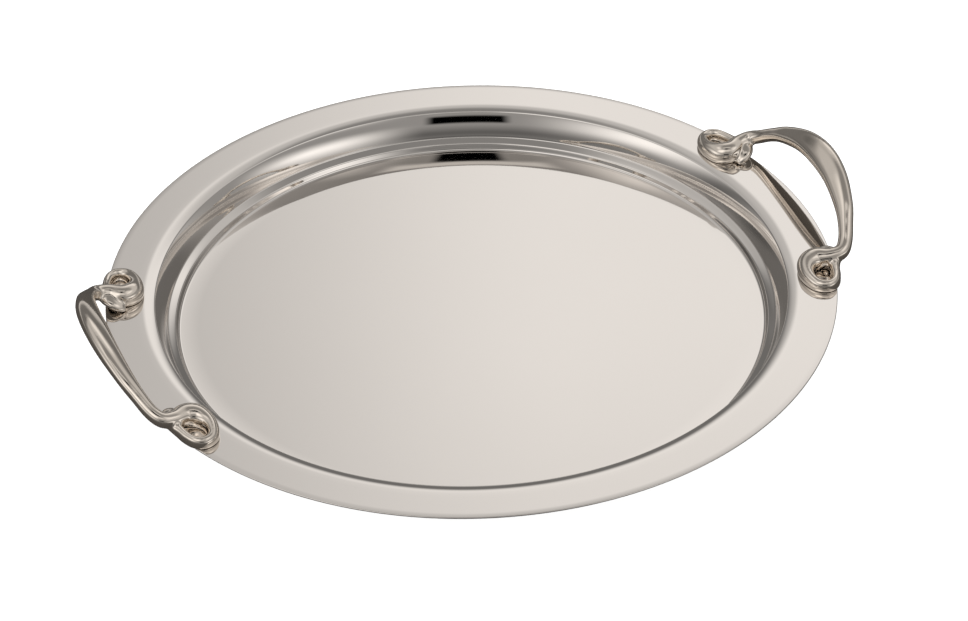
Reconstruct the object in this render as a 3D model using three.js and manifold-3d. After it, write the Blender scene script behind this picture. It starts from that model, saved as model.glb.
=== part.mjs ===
// Round serving tray: a pressed sheet bowl with a flat rim, and two cast arch handles
// whose knotted feet stand on the rim and are screwed on from below.
//
// Millimetres, +Z up. The origin is on the underside of the floor, at its centre.
// The two handles stand at +X and -X, and each is the other turned half a turn about Z.

import * as THREE from 'three';
import { mergeVertices } from 'three/addons/utils/BufferGeometryUtils.js';
import Module from 'manifold-3d';

// ---- Driving dimensions ----

// Tray sheet
const RIM_RADIUS = 200;
const SHEET_GAUGE = 1.0;
const WELL_DEPTH = 20.3;
const RIM_FLAT_INNER_RADIUS = 180.4;
const TRAY_FACETS = 64;

// The pressed face from the flat of the rim inwards, as stretches of sheet: the length along the
// sheet, the slope it ends at (degrees, downwards) and how many flats stand for it.
const DISH = { length: 6.8, endSlope: 17, flats: 2 };
const CREST = { length: 0.9, endSlope: 59, flats: 2 };
const UPPER_WALL = { length: 7.2, endSlope: 67, flats: 1 };
const LOWER_WALL = { length: 7.2, endSlope: 72, flats: 1 };
const LEDGE_BEND = { length: 0.8, endSlope: 20, flats: 2 };
const LEDGE = { length: 3.7, endSlope: 23, flats: 1 };
const STEP_BEND = { length: 1.0, endSlope: 68, flats: 2 };
const FLOOR_BEND = { length: 1.9, endSlope: 0, flats: 3 };

// Handle: the distances of its centre line from the tray's axis (out), from the handle's own
// middle (along) and from the rim's top (up), with half the bar's width and half its thickness.
// The arch's broad face leans towards the tray (degrees). A fullness of 1 makes the section an
// ellipse, and a smaller number fills its corners.
const SEAT_GAP = 0.3;
const ARCH = [
  { out: 211, along: 0, up: 29.4, halfWidth: 7.7, halfThickness: 4.8, lean: 31, fullness: 0.8 },
  { out: 210, along: 18.9, up: 27.4, halfWidth: 7, halfThickness: 4.6, lean: 28, fullness: 0.82 },
  { out: 206.6, along: 37.1, up: 21.6, halfWidth: 5.6, halfThickness: 4.1, lean: 24, fullness: 0.88 },
  { out: 203.1, along: 47.6, up: 16.2, halfWidth: 4.5, halfThickness: 3.9, lean: 11, fullness: 0.94 },
  { out: 199.3, along: 55.6, up: 11, halfWidth: 4.3, halfThickness: 4.1, lean: 4, fullness: 1 },
];
const KNOT = [
  { out: 194.6, along: 60.6, up: 8, halfWidth: 4.4, halfThickness: 4.3 },
  { out: 187.9, along: 60.2, up: 6.4, halfWidth: 5, halfThickness: 4.8 },
  { out: 181.4, along: 57, up: 4.6, halfWidth: 6.5, halfThickness: 6.3 },
  { out: 175.8, along: 58.6, up: 3.4, halfWidth: 6.3, halfThickness: 6.8 },
  { out: 172.1, along: 64.4, up: 2.6, halfWidth: 4.8, halfThickness: 6.1 },
  { out: 171.3, along: 71.2, up: 2.2, halfWidth: 3.8, halfThickness: 5.3 },
  { out: 173.2, along: 77.3, up: 1.9, halfWidth: 3.3, halfThickness: 4.7 },
  { out: 178, along: 80.1, up: 1.8, halfWidth: 3, halfThickness: 4.5 },
];
const TAIL = [
  { out: 173.2, along: 77.3, up: 1.9, halfWidth: 3.3, halfThickness: 4.7 },
  { out: 178, along: 80.1, up: 1.8, halfWidth: 3, halfThickness: 4.5 },
  { out: 182.7, along: 78.1, up: 1.9, halfWidth: 2.8, halfThickness: 4.4 },
  { out: 185.8, along: 72.8, up: 2.2, halfWidth: 2.8, halfThickness: 4.2 },
  { out: 187.8, along: 67, up: 3, halfWidth: 3, halfThickness: 4 },
  { out: 190, along: 61.8, up: 4.4, halfWidth: 3.5, halfThickness: 3.5 },
  { out: 190.4, along: 56.6, up: 5.4, halfWidth: 4.2, halfThickness: 3.1 },
  { out: 188.3, along: 53, up: 4.9, halfWidth: 4.8, halfThickness: 2.6 },
  { out: 185.8, along: 50.6, up: 3.3, halfWidth: 4.1, halfThickness: 2.3 },
  { out: 183.8, along: 49, up: 1.8, halfWidth: 2.6, halfThickness: 1.7 },
  { out: 182.8, along: 48.2, up: 1.1, halfWidth: 1.1, halfThickness: 1 },
];
const STEPS_PER_STATION = 3;
const BAR_SIDES = 12;
const TAIL_SIDES = 8;

// Fastening: one screw with a washer under each knot, into the knot's thickest strand
const SCREW_OUT = 178.0;
const SCREW_ALONG = 58.0;
const SCREW_RADIUS = 2.0;
const SCREW_BITE = 5.0;
const SCREW_CLEARANCE = 0.35;
const TAPPED_HOLE_SPARE_DEPTH = 0.6;
const HEAD_RADIUS = 4.0;
const HEAD_HEIGHT = 2.4;
const HEAD_ROUNDING = 1.0;
const RECESS = { length: 4.2, width: 1.0, depth: 1.4 };
const WASHER_OUTER_RADIUS = 4.4;
const WASHER_THICKNESS = 0.8;
const FACE_GAP = 0.3;
const ROUND_FACETS = 16;

// ---- Worked out from the driving dimensions ----

const RIM_TOP = WELL_DEPTH + SHEET_GAUGE;
const RIM_UNDERSIDE = WELL_DEPTH;
const SEAT_LEVEL = RIM_TOP + SEAT_GAP;
const WASHER_TOP = RIM_UNDERSIDE - FACE_GAP;
const WASHER_UNDERSIDE = WASHER_TOP - WASHER_THICKNESS;
const HEAD_TOP = WASHER_UNDERSIDE - FACE_GAP;
const SCREW_TOP = SEAT_LEVEL + SCREW_BITE;

const UP = new THREE.Vector3(0, 0, 1);

// ---- Materials ----

const polishedSteel = () => new THREE.MeshStandardMaterial({
  color: 0xd6d0ca, roughness: 0.06, metalness: 1,
});
const nickelPlate = () => new THREE.MeshStandardMaterial({
  color: 0xbfb3a4, roughness: 0.12, metalness: 1,
});
const zincPlate = () => new THREE.MeshStandardMaterial({
  color: 0xb4b6b8, roughness: 0.35, metalness: 1,
});

// ---- Solids ----

const wasm = await Module();
wasm.setup();

function toSolid(geometry) {
  const bare = geometry.clone();
  bare.deleteAttribute('normal');
  bare.deleteAttribute('uv');
  const merged = mergeVertices(bare, 1e-4);
  return new wasm.Manifold(new wasm.Mesh({
    numProp: 3,
    vertProperties: new Float32Array(merged.attributes.position.array),
    triVerts: new Uint32Array(merged.index.array),
  }));
}

function toGeometry(solid) {
  const mesh = solid.getMesh();
  const geometry = new THREE.BufferGeometry();
  geometry.setAttribute('position', new THREE.BufferAttribute(mesh.vertProperties, 3));
  geometry.setIndex(new THREE.BufferAttribute(mesh.triVerts, 1));
  geometry.computeVertexNormals();
  return geometry;
}

function uprightCylinder(radius, bottom, top, x, y) {
  const geometry = new THREE.CylinderGeometry(radius, radius, top - bottom, ROUND_FACETS);
  geometry.rotateX(Math.PI / 2);
  geometry.translate(x, y, (bottom + top) / 2);
  return toSolid(geometry);
}

// Revolves an outline of (radius, height) points about Z.
function revolve(outline, facets) {
  const geometry = new THREE.LatheGeometry(outline, facets);
  geometry.rotateX(Math.PI / 2);
  return geometry;
}

// The four places where a foot is screwed down, as signs of the handle and of its end.
const FEET = [];
for (const handle of [1, -1]) {
  for (const end of [1, -1]) {
    FEET.push({ handle, end, x: handle * SCREW_OUT, y: handle * end * SCREW_ALONG });
  }
}

// ---- Tray ----

// Follows a stretch of sheet on from a point, its slope changing evenly to the stretch's end slope.
function follow(start, stretch) {
  const points = [];
  const step = stretch.length / stretch.flats;
  const turn = (stretch.endSlope - start.slope) / stretch.flats;
  let last = start;
  for (let i = 0; i < stretch.flats; i += 1) {
    const slope = THREE.MathUtils.degToRad(last.slope + turn / 2);
    last = {
      radius: last.radius - step * Math.cos(slope),
      depth: last.depth + step * Math.sin(slope),
      slope: last.slope + turn,
    };
    points.push(last);
  }
  return points;
}

// The pressed face from the rim inwards: flat, dish, crest, wall, ledge, step and floor.
// The straight of the step takes up what is left of the well's depth.
function pressedFace() {
  const points = [
    { radius: RIM_RADIUS - SHEET_GAUGE / 2, depth: 0, slope: 0 },
    { radius: RIM_FLAT_INNER_RADIUS, depth: 0, slope: 0 },
  ];
  for (const stretch of [DISH, CREST, UPPER_WALL, LOWER_WALL, LEDGE_BEND, LEDGE, STEP_BEND]) {
    points.push(...follow(points.at(-1), stretch));
  }
  const stepStart = points.at(-1);
  const floorBend = follow({ ...stepStart, depth: 0 }, FLOOR_BEND);
  const straightDrop = WELL_DEPTH - stepStart.depth - floorBend.at(-1).depth;
  const straight = {
    length: straightDrop / Math.sin(THREE.MathUtils.degToRad(stepStart.slope)),
    endSlope: stepStart.slope,
    flats: 1,
  };
  points.push(...follow(stepStart, straight));
  points.push(...follow(points.at(-1), FLOOR_BEND));
  return points;
}

function trayOutline() {
  const face = pressedFace();
  const upper = face.map((point) => new THREE.Vector2(point.radius, RIM_TOP - point.depth));
  const lower = face.map((point) => {
    const slope = THREE.MathUtils.degToRad(point.slope);
    return new THREE.Vector2(
      point.radius + SHEET_GAUGE * Math.sin(slope),
      RIM_TOP - point.depth - SHEET_GAUGE * Math.cos(slope),
    );
  });
  const middle = RIM_TOP - SHEET_GAUGE / 2;
  const edge = new THREE.Vector2(RIM_RADIUS, middle);
  return [
    new THREE.Vector2(0, 0),
    ...lower.toReversed(),
    edge,
    ...upper,
    new THREE.Vector2(0, SHEET_GAUGE),
  ];
}

function trayGeometry() {
  let tray = toSolid(revolve(trayOutline(), TRAY_FACETS));
  for (const foot of FEET) {
    const hole = uprightCylinder(
      SCREW_RADIUS + SCREW_CLEARANCE, RIM_UNDERSIDE - 1, RIM_TOP + 1, foot.x, foot.y,
    );
    tray = tray.subtract(hole);
  }
  return toGeometry(tray);
}

// ---- Handle ----

// A closed bar bent along a smooth curve through the stations, its section changing smoothly
// from station to station.
function bentBar(stations, sides) {
  const line = new THREE.CatmullRomCurve3(
    stations.map((s) => new THREE.Vector3(s.out, s.along, RIM_TOP + s.up)),
  );
  const sizes = new THREE.CatmullRomCurve3(
    stations.map((s) => new THREE.Vector3(s.halfWidth, s.halfThickness, 0)),
  );
  const shapes = new THREE.CatmullRomCurve3(
    stations.map((s) => new THREE.Vector3(THREE.MathUtils.degToRad(s.lean ?? 0), s.fullness ?? 1, 0)),
  );
  const steps = (stations.length - 1) * STEPS_PER_STATION;
  const geometry = new THREE.CylinderGeometry(1, 1, 1, sides, steps);
  const position = geometry.attributes.position;
  const point = new THREE.Vector3();
  for (let i = 0; i < position.count; i += 1) {
    point.fromBufferAttribute(position, i);
    const t = THREE.MathUtils.clamp(0.5 - point.y, 0, 1);
    const centre = line.getPoint(t);
    const size = sizes.getPoint(t);
    const shape = shapes.getPoint(t);
    const forward = line.getTangent(t);
    const across = new THREE.Vector3().crossVectors(UP, forward).normalize();
    across.applyAxisAngle(forward, -shape.x);
    const above = new THREE.Vector3().crossVectors(forward, across);
    const sideways = Math.sign(point.x) * Math.abs(point.x) ** shape.y;
    const upwards = Math.sign(point.z) * Math.abs(point.z) ** shape.y;
    centre.addScaledVector(across, sideways * size.x);
    centre.addScaledVector(above, upwards * size.y);
    position.setXYZ(i, centre.x, centre.y, centre.z);
  }
  return toSolid(geometry);
}

const mirrored = (station) => ({ ...station, along: -station.along });

function handleGeometry() {
  const half = [...ARCH, ...KNOT];
  const bar = [...half.slice(1).toReversed().map(mirrored), ...half];
  let handle = bentBar(bar, BAR_SIDES);
  handle = handle.add(bentBar(TAIL, TAIL_SIDES));
  handle = handle.add(bentBar(TAIL.map(mirrored), TAIL_SIDES));

  // The feet are ground flat where they stand on the rim.
  const below = new THREE.BoxGeometry(100, 240, 20);
  below.translate(SCREW_OUT + 10, 0, SEAT_LEVEL - 10);
  handle = handle.subtract(toSolid(below));

  for (const end of [1, -1]) {
    const hole = uprightCylinder(
      SCREW_RADIUS + SCREW_CLEARANCE, SEAT_LEVEL - 1, SCREW_TOP + TAPPED_HOLE_SPARE_DEPTH,
      SCREW_OUT, end * SCREW_ALONG,
    );
    handle = handle.subtract(hole);
  }
  return toGeometry(handle);
}

// ---- Fastening ----

function screwGeometry(x, y) {
  const bottom = HEAD_TOP - HEAD_HEIGHT;
  const outline = new THREE.Path();
  outline.moveTo(0, bottom);
  outline.lineTo(HEAD_RADIUS - HEAD_ROUNDING, bottom);
  outline.absarc(
    HEAD_RADIUS - HEAD_ROUNDING, bottom + HEAD_ROUNDING, HEAD_ROUNDING, -Math.PI / 2, 0, false,
  );
  outline.lineTo(HEAD_RADIUS, HEAD_TOP);
  outline.lineTo(SCREW_RADIUS, HEAD_TOP);
  outline.lineTo(SCREW_RADIUS, SCREW_TOP - 0.5);
  outline.lineTo(SCREW_RADIUS - 0.5, SCREW_TOP);
  outline.lineTo(0, SCREW_TOP);
  let screw = toSolid(revolve(outline.getPoints(2), ROUND_FACETS));
  const slots = [
    new THREE.BoxGeometry(RECESS.length, RECESS.width, 2 * RECESS.depth),
    new THREE.BoxGeometry(RECESS.width, RECESS.length, 2 * RECESS.depth),
  ];
  for (const slot of slots) {
    slot.translate(0, 0, bottom);
    screw = screw.subtract(toSolid(slot));
  }
  const geometry = toGeometry(screw);
  geometry.translate(x, y, 0);
  return geometry;
}

function washerGeometry(x, y) {
  const inner = SCREW_RADIUS + SCREW_CLEARANCE;
  const outline = [
    new THREE.Vector2(inner, WASHER_UNDERSIDE),
    new THREE.Vector2(WASHER_OUTER_RADIUS, WASHER_UNDERSIDE),
    new THREE.Vector2(WASHER_OUTER_RADIUS, WASHER_TOP),
    new THREE.Vector2(inner, WASHER_TOP),
    new THREE.Vector2(inner, WASHER_UNDERSIDE),
  ];
  const geometry = revolve(outline, ROUND_FACETS);
  geometry.translate(x, y, 0);
  return geometry;
}

// ---- Assembly ----

function named(name, geometry, material) {
  const mesh = new THREE.Mesh(geometry, material);
  mesh.name = name;
  return mesh;
}

const servingTray = new THREE.Group();
servingTray.add(named('tray_body', trayGeometry(), polishedSteel()));

const handleRight = named('handle_right', handleGeometry(), nickelPlate());
const handleLeft = named('handle_left', handleGeometry(), nickelPlate());
handleLeft.rotation.z = Math.PI;
servingTray.add(handleRight, handleLeft);

for (const foot of FEET) {
  const side = foot.handle > 0 ? 'right' : 'left';
  const place = `${side}_${foot.y > 0 ? 'back' : 'front'}`;
  servingTray.add(named(`screw_${place}`, screwGeometry(foot.x, foot.y), zincPlate()));
  servingTray.add(named(`washer_${place}`, washerGeometry(foot.x, foot.y), zincPlate()));
}

export default servingTray;
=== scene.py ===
"""Looks of the round serving tray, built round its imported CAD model. Metres, +Z up.

The pressed tray, the two cast handles and their screws and washers each replace their
faceted CAD node with a finely made mesh of the same size and place.
"""

import math

import bpy
from mathutils import Matrix, Vector


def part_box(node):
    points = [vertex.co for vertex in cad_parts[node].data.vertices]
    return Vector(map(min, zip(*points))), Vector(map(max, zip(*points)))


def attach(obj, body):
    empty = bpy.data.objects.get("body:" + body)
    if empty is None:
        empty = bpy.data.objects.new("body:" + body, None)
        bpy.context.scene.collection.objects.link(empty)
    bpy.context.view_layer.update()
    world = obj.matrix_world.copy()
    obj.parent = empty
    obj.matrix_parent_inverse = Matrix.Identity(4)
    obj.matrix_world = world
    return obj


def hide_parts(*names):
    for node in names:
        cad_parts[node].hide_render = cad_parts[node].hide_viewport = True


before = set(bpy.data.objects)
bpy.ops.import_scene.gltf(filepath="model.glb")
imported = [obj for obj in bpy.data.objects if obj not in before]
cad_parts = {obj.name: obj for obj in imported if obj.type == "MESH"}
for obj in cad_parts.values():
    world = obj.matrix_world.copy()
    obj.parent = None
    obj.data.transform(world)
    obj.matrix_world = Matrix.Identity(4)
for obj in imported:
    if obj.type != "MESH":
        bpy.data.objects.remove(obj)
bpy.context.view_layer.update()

MM = 0.001
tray_low, tray_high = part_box("tray_body")
RIM_TOP = tray_high.z
RIM_RADIUS = tray_high.x


# ---- Camera ----

CAMERA_DISTANCE = 1.960
CAMERA_AZIMUTH = math.radians(-20.39)
CAMERA_ELEVATION = math.radians(36.50)
CAMERA_ROLL = math.radians(-1.346)
CAMERA_LENS = 134.4
CAMERA_AIM = Vector((-0.0024, -0.0256, RIM_TOP))


def make_camera():
    data = bpy.data.cameras.new("camera")
    data.lens = CAMERA_LENS
    data.sensor_width = 36.0
    data.clip_end = 50.0
    camera = bpy.data.objects.new("camera", data)
    back = Vector((
        math.sin(CAMERA_AZIMUTH) * math.cos(CAMERA_ELEVATION),
        -math.cos(CAMERA_AZIMUTH) * math.cos(CAMERA_ELEVATION),
        math.sin(CAMERA_ELEVATION),
    ))
    turn = (-back).to_track_quat("-Z", "Y").to_matrix().to_4x4()
    roll = Matrix.Rotation(CAMERA_ROLL, 4, "Z")
    camera.matrix_world = Matrix.Translation(CAMERA_AIM + back * CAMERA_DISTANCE) @ turn @ roll
    bpy.context.scene.collection.objects.link(camera)
    bpy.context.scene.camera = camera


# ---- Mesh helpers ----

def new_object(name, vertices, faces, material):
    mesh = bpy.data.meshes.new(name)
    mesh.from_pydata([tuple(v) for v in vertices], [], faces)
    mesh.validate()
    mesh.update()
    piece = bpy.data.objects.new(name, mesh)
    bpy.context.scene.collection.objects.link(piece)
    piece.data.materials.append(material)
    for polygon in mesh.polygons:
        polygon.use_smooth = True
    return piece


def lathe(name, outline, turns, material, place=(0.0, 0.0)):
    """Revolves (radius, height) points about an upright axis; ends on the axis close in a fan."""
    vertices, rings = [], []
    for radius, height in outline:
        if radius < 1e-9:
            rings.append([len(vertices)])
            vertices.append((place[0], place[1], height))
            continue
        rings.append(range(len(vertices), len(vertices) + turns))
        for i in range(turns):
            angle = 2 * math.pi * i / turns
            vertices.append((
                place[0] + radius * math.cos(angle),
                place[1] + radius * math.sin(angle),
                height,
            ))
    faces = []
    for lower, upper in zip(rings, rings[1:]):
        for i in range(turns):
            j = (i + 1) % turns
            corners = [
                lower[i % len(lower)], lower[j % len(lower)],
                upper[j % len(upper)], upper[i % len(upper)],
            ]
            faces.append(list(dict.fromkeys(corners)))
    return new_object(name, vertices, faces, material)


def dress(piece, node):
    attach(piece, "root")
    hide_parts(node)


# ---- Materials ----

def new_material(name):
    material = bpy.data.materials.new(name)
    material.use_nodes = True
    tree = material.node_tree
    shader = tree.nodes["Principled BSDF"]
    return material, tree, shader


def noise(tree, scale, detail, coordinates, stretch=None):
    texture = tree.nodes.new("ShaderNodeTexNoise")
    texture.inputs["Scale"].default_value = scale
    texture.inputs["Detail"].default_value = detail
    source = coordinates
    if stretch:
        mapping = tree.nodes.new("ShaderNodeMapping")
        mapping.inputs["Scale"].default_value = stretch
        tree.links.new(coordinates, mapping.inputs["Vector"])
        source = mapping.outputs["Vector"]
    tree.links.new(source, texture.inputs["Vector"])
    return texture.outputs["Fac"]


def ramp(tree, value, low, high):
    """Maps a 0 to 1 value onto low to high."""
    node = tree.nodes.new("ShaderNodeMapRange")
    node.inputs["From Min"].default_value = 0.3
    node.inputs["From Max"].default_value = 0.7
    node.inputs["To Min"].default_value = low
    node.inputs["To Max"].default_value = high
    tree.links.new(value, node.inputs["Value"])
    return node.outputs["Result"]


def blend_colours(tree, factor, first, second):
    mix = tree.nodes.new("ShaderNodeMix")
    mix.data_type = "RGBA"
    mix.inputs["A"].default_value = (*first, 1.0)
    mix.inputs["B"].default_value = (*second, 1.0)
    tree.links.new(factor, mix.inputs["Factor"])
    return mix.outputs["Result"]


def bump(tree, height, strength, distance, previous=None):
    node = tree.nodes.new("ShaderNodeBump")
    node.inputs["Strength"].default_value = strength
    node.inputs["Distance"].default_value = distance
    tree.links.new(height, node.inputs["Height"])
    if previous:
        tree.links.new(previous, node.inputs["Normal"])
    return node.outputs["Normal"]


def mirror_steel():
    material, tree, shader = new_material("mirror_steel")
    place = tree.nodes.new("ShaderNodeTexCoord").outputs["Object"]
    shader.inputs["Metallic"].default_value = 1.0
    haze = noise(tree, 9.0, 4.0, place)
    tree.links.new(
        blend_colours(tree, haze, (0.835, 0.80, 0.765), (0.855, 0.82, 0.785)),
        shader.inputs["Base Color"],
    )
    tree.links.new(ramp(tree, noise(tree, 60.0, 6.0, place), 0.025, 0.05), shader.inputs["Roughness"])
    tree.links.new(bump(tree, noise(tree, 18.0, 1.0, place), 0.06, 0.00004), shader.inputs["Normal"])
    return material


def bright_nickel():
    material, tree, shader = new_material("bright_nickel")
    place = tree.nodes.new("ShaderNodeTexCoord").outputs["Object"]
    shader.inputs["Metallic"].default_value = 1.0
    tone = noise(tree, 55.0, 3.0, place)
    tree.links.new(
        blend_colours(tree, tone, (0.82, 0.75, 0.67), (0.90, 0.83, 0.75)),
        shader.inputs["Base Color"],
    )
    tree.links.new(ramp(tree, noise(tree, 300.0, 5.0, place), 0.07, 0.11), shader.inputs["Roughness"])
    tree.links.new(bump(tree, noise(tree, 140.0, 2.0, place), 0.1, 0.0001), shader.inputs["Normal"])
    return material


def plain_steel():
    material, tree, shader = new_material("plain_steel")
    place = tree.nodes.new("ShaderNodeTexCoord").outputs["Object"]
    shader.inputs["Metallic"].default_value = 1.0
    tone = noise(tree, 400.0, 3.0, place)
    tree.links.new(
        blend_colours(tree, tone, (0.52, 0.52, 0.51), (0.63, 0.63, 0.62)),
        shader.inputs["Base Color"],
    )
    tree.links.new(ramp(tree, noise(tree, 900.0, 4.0, place), 0.22, 0.40), shader.inputs["Roughness"])
    return material


# ---- Tray ----

GAUGE = 1.0 * MM
FLOOR_TOP = GAUGE
TRAY_TURNS = 512
FLOOR_RINGS = 16
EDGE_ANGLES = range(-72, 73, 18)

# The pressed face from the rim inwards, as stretches of sheet:
# length along the sheet, the slope it ends at (degrees, downwards), and how many points.
PRESSING = [
    (19.1 * MM, 0.0, 6),
    (6.8 * MM, 17.0, 8),
    (0.9 * MM, 59.0, 6),
    (7.2 * MM, 67.0, 8),
    (7.2 * MM, 72.0, 8),
    (0.8 * MM, 20.0, 6),
    (3.7 * MM, 23.0, 4),
    (1.0 * MM, 68.0, 6),
]
STEP_SLOPE = 68.0
FLOOR_BEND = (1.9 * MM, 8)


def stretch(points, length, end_slope, count):
    """Adds points along a stretch of sheet whose slope changes evenly to end_slope."""
    radius, height, slope = points[-1]
    step = length / count
    for i in range(count):
        middle = math.radians(slope + (end_slope - slope) * (i + 0.5) / count)
        radius -= step * math.cos(middle)
        height -= step * math.sin(middle)
        points.append((radius, height, slope + (end_slope - slope) * (i + 1) / count))


def pressed_face():
    """The upper face from the rim's edge to the centre, as (radius, height, slope) points."""
    points = [(RIM_RADIUS - GAUGE / 2, RIM_TOP, 0.0)]
    for length, end_slope, count in PRESSING:
        stretch(points, length, end_slope, count)
    floor_bend = [(0.0, 0.0, STEP_SLOPE)]
    stretch(floor_bend, FLOOR_BEND[0], 0.0, FLOOR_BEND[1])
    drop = points[-1][1] + floor_bend[-1][1] - FLOOR_TOP
    stretch(points, drop / math.sin(math.radians(STEP_SLOPE)), STEP_SLOPE, 5)
    stretch(points, FLOOR_BEND[0], 0.0, FLOOR_BEND[1])
    edge_radius = points[-1][0]
    for i in range(1, FLOOR_RINGS):
        points.append((edge_radius * (1 - i / FLOOR_RINGS), FLOOR_TOP, 0.0))
    return points


def make_tray(material):
    face = pressed_face()
    upper = [(radius, height) for radius, height, slope in face]
    lower = [
        (radius + GAUGE * math.sin(math.radians(slope)), height - GAUGE * math.cos(math.radians(slope)))
        for radius, height, slope in face
    ]
    edge = [
        (
            RIM_RADIUS - GAUGE / 2 + GAUGE / 2 * math.cos(math.radians(angle)),
            RIM_TOP - GAUGE / 2 + GAUGE / 2 * math.sin(math.radians(angle)),
        )
        for angle in EDGE_ANGLES
    ]
    outline = [(0.0, 0.0), *reversed(lower), *edge, *upper, (0.0, FLOOR_TOP)]
    tray = lathe("tray", outline, TRAY_TURNS, material)
    dress(tray, "tray_body")


# ---- Handles ----

# Stations along half of a handle: distance from the tray's axis, distance from the handle's
# middle, height above the rim, half the width and half the thickness of the bar (mm), how far
# its broad face leans towards the tray (degrees), and how full its section is: 1 is an ellipse,
# and a smaller number fills the corners.
GRIP = [
    (211.0, 0.0, 29.4, 7.5, 4.6, 31.0, 0.8),
    (210.0, 18.9, 27.4, 6.8, 4.4, 28.0, 0.82),
    (206.6, 37.1, 21.6, 5.4, 3.9, 24.0, 0.88),
    (203.1, 47.6, 16.2, 4.3, 3.7, 11.0, 0.94),
    (199.3, 55.6, 11.0, 4.1, 3.9, 4.0, 1.0),
    (194.6, 60.6, 8.0, 4.3, 4.2, 0.0, 1.0),
    (187.9, 60.2, 6.4, 4.9, 4.7, 0.0, 1.0),
    (181.4, 57.0, 4.6, 6.4, 6.2, 0.0, 1.0),
    (175.8, 58.6, 3.4, 6.2, 6.7, 0.0, 1.0),
    (172.1, 64.4, 2.6, 4.7, 6.0, 0.0, 1.0),
    (171.3, 71.2, 2.2, 3.7, 5.2, 0.0, 1.0),
    (173.2, 77.3, 1.9, 3.2, 4.6, 0.0, 1.0),
    (178.0, 80.1, 1.8, 2.9, 4.4, 0.0, 1.0),
    (182.7, 78.1, 1.9, 2.7, 4.3, 0.0, 1.0),
    (185.8, 72.8, 2.2, 2.7, 4.1, 0.0, 1.0),
    (187.8, 67.0, 3.0, 2.9, 3.9, 0.0, 1.0),
    (190.0, 61.8, 4.4, 3.4, 3.4, 0.0, 1.0),
    (190.4, 56.6, 5.4, 4.1, 3.0, 0.0, 1.0),
    (188.3, 53.0, 4.9, 4.7, 2.5, 0.0, 1.0),
    (185.8, 50.6, 3.3, 4.0, 2.2, 0.0, 1.0),
    (183.8, 49.0, 1.8, 2.5, 1.6, 0.0, 1.0),
    (182.8, 48.2, 1.1, 1.0, 0.9, 0.0, 1.0),
]
STEPS_PER_STATION = 12
BAR_SIDES = 48
END_BULGE = 0.6
SEAT_GAP = 0.3 * MM
HANDLE_VOXEL = 0.40 * MM
HANDLE_FILLET = 1.1 * MM
HANDLE_SMOOTHING = 12


def spline(values, t):
    """A Catmull-Rom curve through values (tuples), at t from 0 to len(values) - 1."""
    i = min(int(t), len(values) - 2)
    u = t - i
    first, last = values[0], values[-1]
    before = values[i - 1] if i > 0 else tuple(2 * a - b for a, b in zip(first, values[1]))
    after = values[i + 2] if i + 2 < len(values) else tuple(
        2 * a - b for a, b in zip(last, values[-2])
    )
    return tuple(
        0.5 * (2 * b + (c - a) * u + (2 * a - 5 * b + 4 * c - d) * u * u
               + (3 * b - a - 3 * c + d) * u ** 3)
        for a, b, c, d in zip(before, values[i], values[i + 1], after)
    )


def bar_mesh(stations):
    """A closed bar through the stations, with rounded ends."""
    count = (len(stations) - 1) * STEPS_PER_STATION
    samples = [spline(stations, i / STEPS_PER_STATION) for i in range(count + 1)]
    centres = [Vector(s[:3]) for s in samples]
    vertices, faces = [], []
    for i, sample in enumerate(samples):
        ahead = centres[min(i + 1, count)]
        behind = centres[max(i - 1, 0)]
        forward = (ahead - behind).normalized()
        level = forward.cross(Vector((0, 0, 1))).normalized()
        lean = math.radians(sample[5])
        across = level * math.cos(lean) + level.cross(forward) * math.sin(lean)
        above = across.cross(forward)
        for k in range(BAR_SIDES):
            angle = 2 * math.pi * k / BAR_SIDES
            sideways = math.copysign(abs(math.cos(angle)) ** sample[6], math.cos(angle))
            upwards = math.copysign(abs(math.sin(angle)) ** sample[6], math.sin(angle))
            vertices.append(centres[i] + across * sample[3] * sideways + above * sample[4] * upwards)
    for i in range(count):
        for k in range(BAR_SIDES):
            n = (k + 1) % BAR_SIDES
            faces.append([
                i * BAR_SIDES + k, i * BAR_SIDES + n,
                (i + 1) * BAR_SIDES + n, (i + 1) * BAR_SIDES + k,
            ])
    for row, order in ((0, -1), (count, 1)):
        ring = list(range(row * BAR_SIDES, (row + 1) * BAR_SIDES))[::order]
        tip = len(vertices)
        direction = (centres[row] - centres[row - order]).normalized()
        vertices.append(centres[row] + direction * samples[row][3] * END_BULGE)
        for k in range(BAR_SIDES):
            faces.append([ring[k], ring[(k + 1) % BAR_SIDES], tip])
    return vertices, faces


def bake_modifiers(piece):
    bpy.context.view_layer.update()
    evaluated = piece.evaluated_get(bpy.context.evaluated_depsgraph_get())
    mesh = bpy.data.meshes.new_from_object(evaluated)
    piece.modifiers.clear()
    piece.data = mesh


def melt_together(piece, voxel, fillet, smoothing):
    """Fuses a piece where it crosses itself, fills its creases to a radius and smooths it."""
    for distance in (0.0, fillet, -fillet):
        if distance:
            swell = piece.modifiers.new("swell", "DISPLACE")
            swell.mid_level = 0.0
            swell.strength = distance
        remesh = piece.modifiers.new("remesh", "REMESH")
        remesh.mode = "VOXEL"
        remesh.voxel_size = voxel
        remesh.use_smooth_shade = True
    smooth = piece.modifiers.new("smooth", "SMOOTH")
    smooth.factor = 0.5
    smooth.iterations = smoothing
    bake_modifiers(piece)


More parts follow.
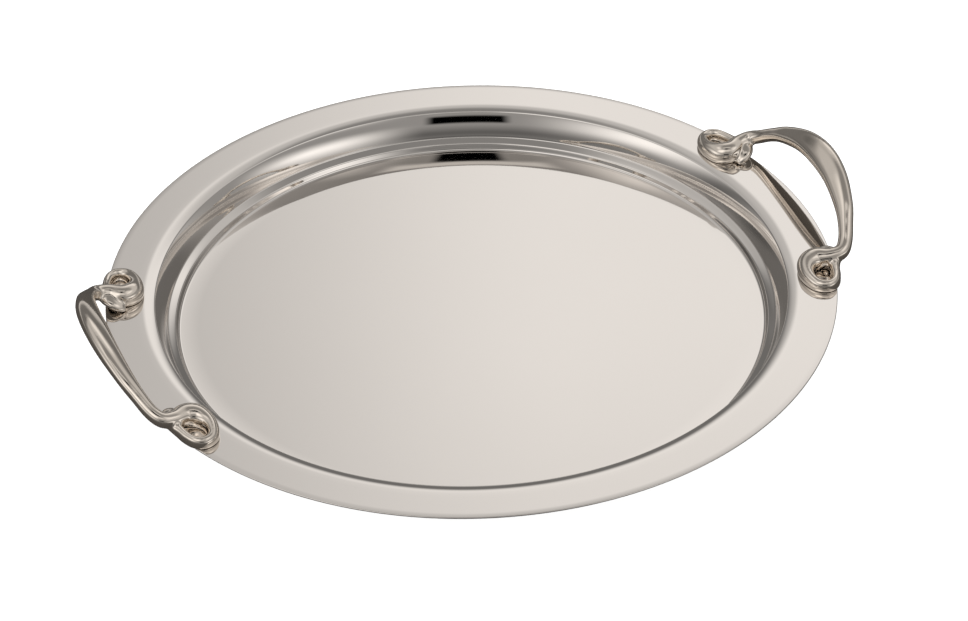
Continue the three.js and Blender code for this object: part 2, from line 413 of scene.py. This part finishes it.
def make_handle(name, side, node, material):
    half = [
        (out * MM, along * MM, RIM_TOP + up * MM, wide * MM, thick * MM, lean, fullness)
        for out, along, up, wide, thick, lean, fullness in GRIP
    ]
    stations = [(out, -along, *rest) for out, along, *rest in reversed(half[1:])] + half
    vertices, faces = bar_mesh(stations)
    if side < 0:
        vertices = [Vector((-v.x, -v.y, v.z)) for v in vertices]
    floor = RIM_TOP + SEAT_GAP
    handle = new_object(name, vertices, faces, material)
    melt_together(handle, HANDLE_VOXEL, HANDLE_FILLET, HANDLE_SMOOTHING)
    for vertex in handle.data.vertices:
        vertex.co.z = max(vertex.co.z, floor)
    for polygon in handle.data.polygons:
        polygon.use_smooth = True
    dress(handle, node)


# ---- Screws and washers ----

FASTENER_TURNS = 64
WASHER_BORE_RADIUS = 2.35 * MM
WASHER_BEVEL = 0.15 * MM
HEAD_HEIGHT = 2.4 * MM
HEAD_ROUNDING = 1.0 * MM
HEAD_ROUNDING_STEPS = 6
SHANK_RADIUS = 2.0 * MM
SHANK_CHAMFER = 0.5 * MM
RECESS_LENGTH = 4.2 * MM
RECESS_WIDTH = 1.0 * MM
RECESS_DEPTH = 1.4 * MM


def cut_recess(screw, centre, head_bottom):
    """Cuts a cross recess into the underside of a screw's head."""
    long, short = RECESS_LENGTH / 2, RECESS_WIDTH / 2
    corners = [
        (long, -short), (long, short), (short, short), (short, long), (-short, long), (-short, short),
        (-long, short), (-long, -short), (-short, -short), (-short, -long), (short, -long),
        (short, -short),
    ]
    vertices = [
        (centre.x + x, centre.y + y, z)
        for z in (head_bottom - RECESS_DEPTH, head_bottom + RECESS_DEPTH)
        for x, y in corners
    ]
    count = len(corners)
    faces = [list(range(count))[::-1], list(range(count, 2 * count))]
    for i in range(count):
        j = (i + 1) % count
        faces.append([i, j, count + j, count + i])
    cutter = new_object("recess_cutter", vertices, faces, screw.data.materials[0])
    cut = screw.modifiers.new("recess", "BOOLEAN")
    cut.operation = "DIFFERENCE"
    cut.object = cutter
    bake_modifiers(screw)
    bpy.data.objects.remove(cutter)
    screw.data.set_sharp_from_angle(angle=math.radians(30.0))


def washer_outline(radius, bottom, top):
    return [
        (WASHER_BORE_RADIUS, bottom), (radius - WASHER_BEVEL, bottom), (radius, bottom + WASHER_BEVEL),
        (radius, top - WASHER_BEVEL), (radius - WASHER_BEVEL, top), (WASHER_BORE_RADIUS, top),
        (WASHER_BORE_RADIUS, bottom),
    ]


def screw_outline(radius, bottom, top):
    outline = [(0.0, bottom)]
    for i in range(HEAD_ROUNDING_STEPS + 1):
        angle = math.pi / 2 * i / HEAD_ROUNDING_STEPS
        outline.append((
            radius - HEAD_ROUNDING + HEAD_ROUNDING * math.sin(angle),
            bottom + HEAD_ROUNDING - HEAD_ROUNDING * math.cos(angle),
        ))
    outline += [
        (radius, bottom + HEAD_HEIGHT), (SHANK_RADIUS, bottom + HEAD_HEIGHT),
        (SHANK_RADIUS, top - SHANK_CHAMFER), (SHANK_RADIUS - SHANK_CHAMFER, top), (0.0, top),
    ]
    return outline


def make_fastener(node, material):
    """A washer, or a pan-head screw that points up, in the CAD node's box."""
    low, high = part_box(node)
    centre = (low + high) / 2
    radius = (high.x - low.x) / 2
    make_outline = washer_outline if node.startswith("washer") else screw_outline
    outline = make_outline(radius, low.z, high.z)
    name = node.replace("screw", "machine_screw").replace("washer", "plain_washer")
    piece = lathe(name, outline, FASTENER_TURNS, material, place=(centre.x, centre.y))
    if node.startswith("screw"):
        cut_recess(piece, centre, low.z)
    dress(piece, node)


# ---- Studio ----

def calculate(tree, operation, first, second=0.0):
    node = tree.nodes.new("ShaderNodeMath")
    node.operation = operation
    for socket, value in zip(node.inputs, (first, second)):
        if isinstance(value, (int, float)):
            socket.default_value = value
        else:
            tree.links.new(value, socket)
    return node.outputs[0]


def soft_step(tree, value, middle, softness):
    """Rises smoothly from 0 to 1 as value passes middle."""
    node = tree.nodes.new("ShaderNodeMapRange")
    node.interpolation_type = "SMOOTHSTEP"
    node.inputs["From Min"].default_value = middle - softness
    node.inputs["From Max"].default_value = middle + softness
    tree.links.new(value, node.inputs["Value"])
    return node.outputs["Result"]


def towards(tree, direction, azimuth):
    """How far a direction points to an azimuth: 0 is towards the camera, 90 to its right."""
    turn = math.radians(azimuth) + CAMERA_AZIMUTH
    node = tree.nodes.new("ShaderNodeVectorMath")
    node.operation = "DOT_PRODUCT"
    node.inputs[1].default_value = (math.sin(turn), -math.cos(turn), 0.0)
    tree.links.new(direction, node.inputs[0])
    return node.outputs["Value"]


def angle_between(tree, sine, cosine):
    return calculate(tree, "DEGREES", calculate(tree, "ARCTAN2", sine, cosine))


def inside(tree, value, half_width, softness):
    """1 where value is less than half_width away from 0, and 0 outside."""
    away = calculate(tree, "ABSOLUTE", value)
    return calculate(tree, "SUBTRACT", 1.0, soft_step(tree, away, half_width, softness))


def wall_light(tree, direction, elevation, panel):
    """The light from one soft-edged panel round the studio, all angles in degrees."""
    azimuth, half_width, side_softness, low, high, edge_softness, strength = panel
    ahead = towards(tree, direction, azimuth)
    aside = towards(tree, direction, azimuth + 90.0)
    across = inside(tree, angle_between(tree, aside, ahead), half_width, side_softness)
    above = soft_step(tree, elevation, low, edge_softness)
    over = soft_step(tree, elevation, high, edge_softness)
    between = calculate(tree, "SUBTRACT", above, over)
    return calculate(tree, "MULTIPLY", calculate(tree, "MULTIPLY", across, between), strength)


def ceiling_light(tree, direction, up, panel):
    """The light from one soft-edged panel overhead, placed by its tilt from straight up."""
    sideways, half_width, away, half_depth, softness, strength = panel
    light = strength
    for azimuth, middle, half in ((90.0, sideways, half_width), (180.0, away, half_depth)):
        tilt = angle_between(tree, towards(tree, direction, azimuth), up)
        offset = calculate(tree, "SUBTRACT", tilt, middle)
        light = calculate(tree, "MULTIPLY", inside(tree, offset, half, softness), light)
    return light


# The studio as the tray mirrors it, with azimuth 0 towards the camera and 90 to its right:
# azimuth, half width, side softness, lowest and highest elevation, edge softness, strength.
DOME_LIGHT = 0.31
WALL_PANELS = [
    (-66.0, 25.0, 26.0, 9.5, 26.5, 8.0, 0.85),
    (53.0, 21.0, 18.0, 4.0, 12.7, 6.0, 1.0),
    (0.0, 14.0, 2.5, 15.0, 24.5, 1.8, -0.32),
    (-9.0, 58.0, 18.0, 2.0, 9.5, 5.0, -0.20),
    (165.0, 18.0, 5.0, 26.0, 42.0, 6.5, 0.34),
    (-87.0, 68.0, 18.0, 33.0, 68.0, 6.0, 0.23),
    (115.0, 84.0, 12.0, 27.0, 55.0, 6.0, 0.26),
    (180.0, 65.0, 15.0, 8.0, 25.0, 4.0, -0.14),
    (180.0, 65.0, 20.0, -6.0, 6.0, 4.0, 0.25),
    (207.0, 17.0, 8.0, 25.0, 34.0, 3.0, -0.16),
    (150.0, 12.0, 8.0, 25.0, 33.0, 3.0, -0.12),
    (-40.0, 20.0, 14.0, 36.0, 58.0, 9.0, 0.60),
    (72.0, 24.0, 14.0, 46.0, 70.0, 8.0, 0.45),
    (-108.0, 22.0, 12.0, -2.0, 11.0, 5.0, -0.18),
]

# Overhead: sideways tilt and half width, tilt away from the camera and half depth, softness,
# strength.
CEILING_PANELS = [
    (0.0, 6.0, -13.0, 6.5, 1.6, -0.34),
    (-26.0, 8.0, 4.0, 14.0, 8.0, 0.35),
    (0.0, 18.0, 12.0, 22.0, 10.0, -0.06),
    (0.0, 22.0, -33.0, 8.0, 10.0, 0.50),
    (0.0, 13.0, 0.0, 4.5, 2.5, 0.40),
]


FLOOR_HALF_SIZE = 6.0
FLOOR_LIGHT_SIZE = 4.0
FLOOR_LIGHT_HEIGHT = 3.0
FLOOR_LIGHT_POWER = 150.0
BACKDROP_LIGHT = 0.95


def make_floor():
    """A plain pale floor, which the metal sees darker than the camera does."""
    material, tree, shader = new_material("pale_floor")
    mirrored = tree.nodes.new("ShaderNodeLightPath").outputs["Is Glossy Ray"]
    tree.links.new(
        blend_colours(tree, mirrored, (0.9, 0.9, 0.9), (0.045, 0.042, 0.039)),
        shader.inputs["Base Color"],
    )
    shader.inputs["Roughness"].default_value = 0.9
    size = FLOOR_HALF_SIZE
    corners = [(-size, -size, 0), (size, -size, 0), (size, size, 0), (-size, size, 0)]
    floor = new_object("studio_floor", corners, [[0, 1, 2, 3]], material)


def make_floor_light():
    """Lifts the floor to near white. Mirrors don't see it."""
    data = bpy.data.lights.new("floor_light", "AREA")
    data.shape = "DISK"
    data.size = FLOOR_LIGHT_SIZE
    data.energy = FLOOR_LIGHT_POWER
    light = bpy.data.objects.new("floor_light", data)
    light.location = (0.0, 0.0, FLOOR_LIGHT_HEIGHT)
    light.data.use_shadow = False
    light.visible_glossy = False
    light.visible_camera = False
    bpy.context.scene.collection.objects.link(light)


def make_world():
    """A plain bright backdrop to the camera, and the panels to everything that mirrors them."""
    world = bpy.data.worlds.new("studio")
    world.use_nodes = True
    tree = world.node_tree
    direction = tree.nodes.new("ShaderNodeTexCoord").outputs["Generated"]
    split = tree.nodes.new("ShaderNodeSeparateXYZ")
    tree.links.new(direction, split.inputs["Vector"])
    elevation = calculate(tree, "DEGREES", calculate(tree, "ARCSINE", split.outputs["Z"]))
    light = DOME_LIGHT
    for panel in WALL_PANELS:
        light = calculate(tree, "ADD", wall_light(tree, direction, elevation, panel), light)
    for panel in CEILING_PANELS:
        light = calculate(tree, "ADD", ceiling_light(tree, direction, split.outputs["Z"], panel), light)
    light = calculate(tree, "MAXIMUM", light, 0.0)
    seen = tree.nodes.new("ShaderNodeLightPath").outputs["Is Camera Ray"]
    backdrop = calculate(tree, "MULTIPLY", seen, BACKDROP_LIGHT)
    mirrored = calculate(tree, "MULTIPLY", calculate(tree, "SUBTRACT", 1.0, seen), light)
    background = tree.nodes["Background"]
    background.inputs["Color"].default_value = (1.0, 0.975, 0.95, 1.0)
    tree.links.new(calculate(tree, "ADD", backdrop, mirrored), background.inputs["Strength"])
    bpy.context.scene.world = world
    bpy.context.scene.view_settings.view_transform = "Standard"


make_camera()
steel = mirror_steel()
nickel = bright_nickel()
fastener = plain_steel()
make_tray(steel)
make_handle("right_handle", 1, "handle_right", nickel)
make_handle("left_handle", -1, "handle_left", nickel)
for cad_node in sorted(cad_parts):
    if cad_node.startswith(("screw", "washer")):
        make_fastener(cad_node, fastener)
make_floor()
make_floor_light()
make_world()
